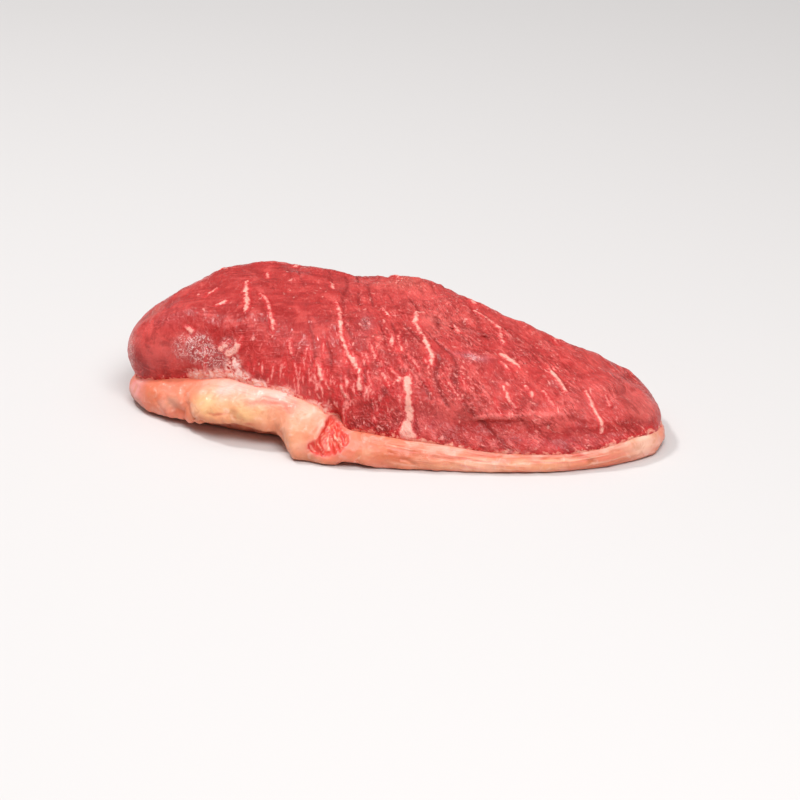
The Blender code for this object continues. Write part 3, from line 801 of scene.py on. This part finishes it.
fatDress = {
    "lumps": 0.7, "lumpSize": 11, "dimples": 0.3, "dimpleSize": 4,
    "sheets": 0.35, "sheetSize": (13, 20, 2.2), "waves": 0.8, "waveSize": (9, 12, 14),
    "rimFrom": -20, "rimOver": 30, "backOver": 20,          # where the sheets and waves come in
    "knobs": 3, "knobSize": (7, 7, 20), "knobHeight": (7, 6), "knobPlace": (-88, 34), "knobFront": -20,
    "sinews": 0.9, "strandRise": 0.9, "strandHalf": 0.6,
    "veinFoot": (7, 4),             # middle and spread in x of where the widest vein meets the rim
    "tipFrom": 116, "tipOver": 10,  # the layers fade towards the pale tip
    "ground": "ee8166",
    "patches": (
        ("f5bc86", 1.0, (-98, -40, 18), (13, 12, 10)),  # thick cream fat in the flap
        ("f5bc86", 1.0, (-76, -50, 18), (15, 12, 10)),
        ("f0aa80", 0.8, (-52, -66, 12), (16, 12, 12)),  # knuckle
        ("fac6ba", 0.95, (-88, -34, 27), (22, 9, 4.5)),  # pale membrane along its top
        ("fac6ba", 0.95, (-60, -47, 27), (18, 8, 4.5)), ("fbc8b0", 0.8, (-42, -60, 22), (10, 7, 6)),
        ("f5a685", 0.6, (-58, -57, 19), (9, 6, 5)),
        ("e07650", 0.85, (-128, -13, 12), (8, 9, 9)),  # orange thick end
        ("ee8a68", 0.6, (-114, -24, 15), (9, 9, 7)),
        ("f2a09c", 0.9, (-138, -2, 11), (7, 8, 9)),  # pink corner
        ("b8643e", 0.8, (-118, -25, 12), (6, 5, 3)),  # painted shade in the dents under the thick end
        ("d2603e", 0.75, (-112, -29, 9), (7, 5, 2.5)), ("cf9068", 0.75, (-85, -49, 17), (6, 4, 2.2)),
        ("cf7048", 0.8, (-102, -40, 9), (9, 6, 3)),  # lower edge of the flap, browner and darkened with painted shade
        ("cf7048", 0.8, (-88, -47, 10), (9, 6, 3)), ("d27850", 0.6, (-73, -54, 9.5), (9, 6, 3)),
        # painted shade low under the pink corner
        ("a04a36", 0.8, (-138, -4, 4.5), (7, 8, 2.5)),
        ("e66e64", 0.85, (-67, -49.5, 24), (9, 4, 0.8)),  # pink lines in the membrane
        ("e66e64", 0.75, (-54, -54, 23.6), (7, 4, 0.6)), ("e66e64", 0.65, (-62, -49, 25.6), (8, 4, 0.5)),
        ("c8563e", 0.7, (-92, -47, 15.8), (5, 4, 1)),  # reddish pits
        ("c8563e", 0.7, (-74.6, -53.5, 12.2), (3.5, 4, 1.2)),
        ("d98964", 0.7, (-43, -76, 2.5), (16, 8, 2.5)),  # foot of the knuckle
        ("fbc9b6", 0.85, (-36, -65, 17), (3.5, 5, 6)),  # turned edge beside the tear
        ("ffd6c8", 0.8, (-32.5, -59, 19.5), (2, 4, 2)),  # white tip of the tear
        ("f0a57c", 0.8, (-13, -80, 8.4), (6, 4, 3)),  # nub right of the tear
        ("e8876a", 0.6, (-17, -68, 15), (3, 5, 6)), ("cc5f3a", 0.88, (5, -81.5, 8.5), (19, 6, 5)),
        ("f5aa82", 0.85, (32, -86, 4), (34, 5, 4)),  # yellower foot of the rim
        ("f5aa82", 0.8, (76, -86, 4), (22, 5, 3.5)),
        ("fcc0ac", 0.9, (72, -82, 10.2), (20, 4, 1.5)),  # pale upper line of the rim
        ("fbb8a4", 0.8, (36, -81, 11.2), (18, 4, 1.6)),
        ("e8705f", 0.55, (46, -84, 8.6), (20, 4, 0.8)),  # pink line under it
        ("e8705f", 0.45, (76, -84, 8.0), (14, 4, 0.7)),
        ("e24442", 0.85, (96.5, -82, 8.6), (5, 4, 1.2)),  # lean showing through
        ("ffd2c2", 0.9, (92.3, -81, 9.8), (2.5, 3, 1)), ("ffd2c2", 0.9, (98.5, -80.3, 10), (2.5, 3, 1)),
        ("b0603c", 0.8, (103, -83, 5.5), (3, 4, 2)), ("ffd0bc", 0.9, (112, -77.5, 10.2), (8, 4, 1.1)),
        ("ffc8b0", 1.0, (130, -68, 9), (13, 14, 6)),  # pale tip
        ("c96a48", 0.6, (107, -82, 2.5), (9, 5, 2)),
        ("fbbca6", 0.75, (-62, 86, 8), (26, 12, 3)),  # the rim at the back
        ("e26a56", 0.6, (-112, 62, 7), (16, 16, 2)), ("f3a67c", 0.75, (-16, 72, 5), (24, 12, 4)),
        ("fbbca6", 0.7, (44, 50, 7), (22, 16, 2.5)), ("e26a56", 0.6, (88, 18, 6), (16, 10, 1.5)),
        ("c8764e", 0.6, (-96, 76, 3), (14, 8, 3)), ("c8764e", 0.6, (20, 64, 2.5), (12, 8, 2.5)),
        ("f2a09c", 0.7, (-140, 24, 8), (8, 14, 5)),
    ),
    "film": ((1.0, (-85, -38, 26), (24, 9, 5)), (1.0, (-55, -50, 26), (22, 10, 6))),
    # outline of the tear as x and z on the face that looks to the front, from its top round
    "tear": ((-32.6, 20.5), (-24.7, 15.8), (-22, 14.3), (-23.5, 11.2), (-27.1, 8.6), (-36.5, 4.8),
             (-44.8, 8.3), (-43.8, 11.2), (-39.6, 12.6), (-34.6, 18.6)),
    "tearDepth": 1.5,
    # half width, then points
    "strands": (
        (0.5, (-32.8, -64, 17), (-30, -70, 13.5), (-25.5, -76.3, 10.7)),
        (0.5, (-38.6, -70.6, 13.7), (-38.6, -72.5, 11), (-37, -73.5, 8.5)),
        (0.3, (-33, -66, 14), (-33.5, -71, 11.5), (-33, -74.5, 8)),
    ),
    # depth, half width, then points
    "creases": (
        (0.7, 0.6, (-36.6, -63.3, 19), (-39.6, -68.2, 16.6), (-41.7, -70.4, 14.2)),
        (0.9, 1.0, (-16.5, -67.7, 17), (-16.2, -74, 13), (-17, -78.5, 8.5), (-18, -80, 4)),
        (0.8, 1.2, (-9.5, -75.6, 12.6), (-2, -78, 11.5), (4.5, -79.4, 10.6), (10, -81, 9.4)),
        (0.8, 1.1, (4.5, -82.6, 6.8), (8, -83.1, 6.2), (11, -83.7, 4)),
        (0.7, 1.1, (21, -83.6, 7.8), (31, -84.5, 7.5), (42, -84.5, 7.6)),
        (0.8, 1.0, (29.8, -82, 9.6), (42, -83.3, 9), (56, -83.6, 8.8)),
        (0.7, 1.0, (58, -84.5, 8.2), (72, -84.6, 7.8), (86.5, -84.9, 7.6)),
        (1.0, 1.4, (91, -84, 7.4), (96, -83.4, 7.8), (101, -83, 6.4), (104, -83, 5)),
        (0.8, 1.2, (-118, 56, 11), (-120, 58, 6), (-119, 58, 2)),
        (0.7, 1.1, (-84, 83, 9), (-60, 85.5, 8), (-40, 80, 8)),
        (0.9, 1.3, (-14, 70, 10), (-12, 71, 5), (-13, 70, 2)),
        (0.7, 1.1, (24, 60, 7.5), (48, 46, 7), (66, 32, 6.5)),
        (0.8, 1.2, (98, 14, 8), (100, 14, 4), (99, 14, 2)),
        (0.6, 1.0, (104, -79, 9.4), (110, -78.5, 9.4), (118, -77, 9)),
        (1.3, 2.4, (-111, -24, 19), (-110, -30, 14.6), (-107, -38, 9)),
        (1.2, 2.6, (-120, -22, 13), (-113, -29, 9)), (0.5, 1.3, (-127, -15, 13), (-126, -20, 9)),
        (0.9, 3, (-88, -47.5, 18.5), (-82, -51.5, 15.5)),
        (0.7, 1.8, (-97, -44.5, 15.5), (-90, -47.5, 15.5)),
        (0.3, 0.8, (-78, -44, 25), (-64, -50, 24), (-50, -55, 24)),
    ),
}


def outlineDistance(points, corners):
    # signed distance in x and z to a closed outline, below zero inside it, on the side facing forward
    flat = points[..., ::2]
    corners = np.array(corners)
    after = np.roll(corners, -1, axis=0)
    inside = np.zeros(flat.shape[:-1], bool)
    for (x1, z1), (x2, z2) in zip(corners, after):
        crosses = (flat[..., 1] < z1) != (flat[..., 1] < z2)
        reach = x1 + (flat[..., 1] - z1) / (z2 - z1 + 1e-9) * (x2 - x1)
        inside ^= crosses & (flat[..., 0] < reach)
    distance = np.minimum.reduce([lineDistance(flat, *ends) for ends in zip(corners, after)])
    distance = np.where(inside, -distance, distance)
    return np.where(points[..., 1] < -50, distance, farAway)


def dressFat():
    look = fatDress
    x, y, z = np.moveaxis(cap, -1, 0)
    drop = walkedFrom(cap, fat["seamRings"] - 1)
    layer = np.stack([x, y, drop], axis=-1)
    tear = outlineDistance(cap, look["tear"]) + 0.9 * noiseOver(cap, (2, 3, 3))
    strand = np.minimum.reduce([pathDistance(cap, path) - half for half, *path in look["strands"]])
    height = look["lumps"] * noiseOver(cap, look["lumpSize"], 2)
    height += look["dimples"] * noiseOver(cap, look["dimpleSize"], 2)
    # thin layers along the rim, on the right and at the back, and shallow waves across them
    rim = np.maximum(ease((x - look["rimFrom"]) / look["rimOver"]), ease(y / look["backOver"]))
    height += look["sheets"] * noiseOver(layer, look["sheetSize"]) * ease(drop / 3) * rim
    height += look["waves"] * noiseOver(cap, look["waveSize"], 1, (0, 0, 3)) * rim
    crease, wobble = np.full_like(x, farAway), 0.5 * noiseOver(cap, 3)
    for depth, half, *path in look["creases"]:
        away = pathDistance(cap, path) + wobble
        crease = np.minimum(crease, away)
        height -= depth * peak(away, 0, half)
    # the tear is sunk in, with sinews that lean as they run down it
    hollow = ease((0.5 - tear) / 2)
    sinew = hollow * furrow(noise(x / 3.2 + z / 9, y / 9, z / 14), 3.5)
    height = height + look["sinews"] * sinew - look["tearDepth"] * hollow
    height += look["strandRise"] * peak(strand, 0, look["strandHalf"]) * hollow
    # knobs along the lip of the flap, parted by narrow dents where a noise is zero
    parted = furrow(noiseOver(cap, look["knobSize"], 1, (0.3, 0, 0)), 2.2) * (y < look["knobFront"])
    parted = parted * peak(z, *look["knobHeight"]) * peak(x, *look["knobPlace"])
    height -= look["knobs"] * parted
    height = height * ease(drop / 2) * ease(z / 1.5)        # none at the seam or underneath
    skin = cap + outward(cap, True) * height[..., None]
    film = strongest(cap, look["film"], lambda share: share)
    layered = rim * (1 - 0.8 * ease((x - look["tipFrom"]) / look["tipOver"]))
    # the drop is raised where the widest vein runs down into the rim, so that no red line crosses it
    values = {"drop": drop + 5 * peak(x, *look["veinFoot"]) * (y < 0), "tear": tear,
              "torn": ease(0.5 - tear), "sinew": sinew, "strand": strand, "crease": crease,
              "film": film, "bare": 1 - 0.6 * film, "layered": np.maximum(layered, 0.5 * film),
              "layer": layer * mm, "tint": painted(cap, look["ground"], look["patches"], 3)}
    return makeSkin("fatCap", skin, True, values, makeMaterial("beefFat", suet))


muscleSkin = dressMuscle()
fatSkin = dressFat()
for skin, node, slot in ((muscleSkin, "lean", "raw_muscle"), (fatSkin, "fat_cap", "beef_fat")):
    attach(skin, "root")
    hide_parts(node)
print("muscle and fat dressed")


studio = {
    "floorSize": 8, "floorColour": "d4d1d0",
    "sky": (0.12, 0.85), "skyEdge": (0.45, 0.85),       # low and high strength, and the sines between
    "lamps": (                      # place in m, size in m, power in W
        ((-0.7, 0.35, 1.4), 0.2, 11), ((0.3, -0.9, 1.35), 0.8, 18),
    ),
    "lens": 144, "elevation": 24, "distance": 1.7375, "aim": (0.004, 0.0075, 0),
}


def setStage():
    # matt pale board, a little darker than the light that falls on it
    half = studio["floorSize"] / 2
    mesh = bpy.data.meshes.new("floor")
    corners = [(-half, -half, 0), (half, -half, 0), (half, half, 0), (-half, half, 0)]
    mesh.from_pydata(corners, [], [(0, 1, 2, 3)])
    paint = bpy.data.materials.new("mattPaint")
    paint.use_nodes = True
    shader = paint.node_tree.nodes["Principled BSDF"]
    shader.inputs["Base Color"].default_value = hexColour(studio["floorColour"])
    shader.inputs["Roughness"].default_value = 0.9
    mesh.materials.append(paint)
    floor = addObject("floor", mesh)
    world = bpy.data.worlds.new("sky")
    world.use_nodes = True
    tree = world.node_tree          # brighter overhead than near the horizon, as under a broad softbox
    up = addNode(tree, "SeparateXYZ", {0: addNode(tree, "TexCoord", {})}, out=2)
    strength = addNode(tree, "MapRange",
                       {0: up, 1: studio["skyEdge"][0], 2: studio["skyEdge"][1],
                        3: studio["sky"][0], 4: studio["sky"][1]}, interpolation_type="SMOOTHSTEP")
    tree.links.new(strength, tree.nodes["Background"].inputs["Strength"])
    tree.nodes["Background"].inputs["Color"].default_value = (1, 1, 1, 1)
    bpy.context.scene.world = world
    bpy.context.scene.view_settings.view_transform = "Standard"


def pointAt(thing, place, target):
    direction = np.array(target, float) - np.array(place, float)
    flat = np.hypot(direction[0], direction[1])
    thing.location = place
    thing.rotation_euler = (np.pi / 2 + np.arctan2(direction[2], flat), 0,
                            np.arctan2(-direction[0], direction[1]))


def setLights():
    for number, (place, size, power) in enumerate(studio["lamps"]):
        lamp = bpy.data.lights.new(f"softbox{number}", "AREA")
        lamp.energy = power
        lamp.size = size
        pointAt(addObject(lamp.name, lamp), place, (0, 0, 0.02))


def setCamera():
    lens = bpy.data.cameras.new("camera")
    lens.lens = studio["lens"]
    lens.sensor_width = 36
    lens.clip_end = 20
    camera = addObject("camera", lens)
    tilt = np.radians(studio["elevation"])
    back = np.array([0, -np.cos(tilt), np.sin(tilt)]) * studio["distance"]
    pointAt(camera, np.array(studio["aim"]) + back, studio["aim"])
    bpy.context.scene.camera = camera


setStage()
setLights()
setCamera()
bpy.context.view_layer.update()
print("stage set")
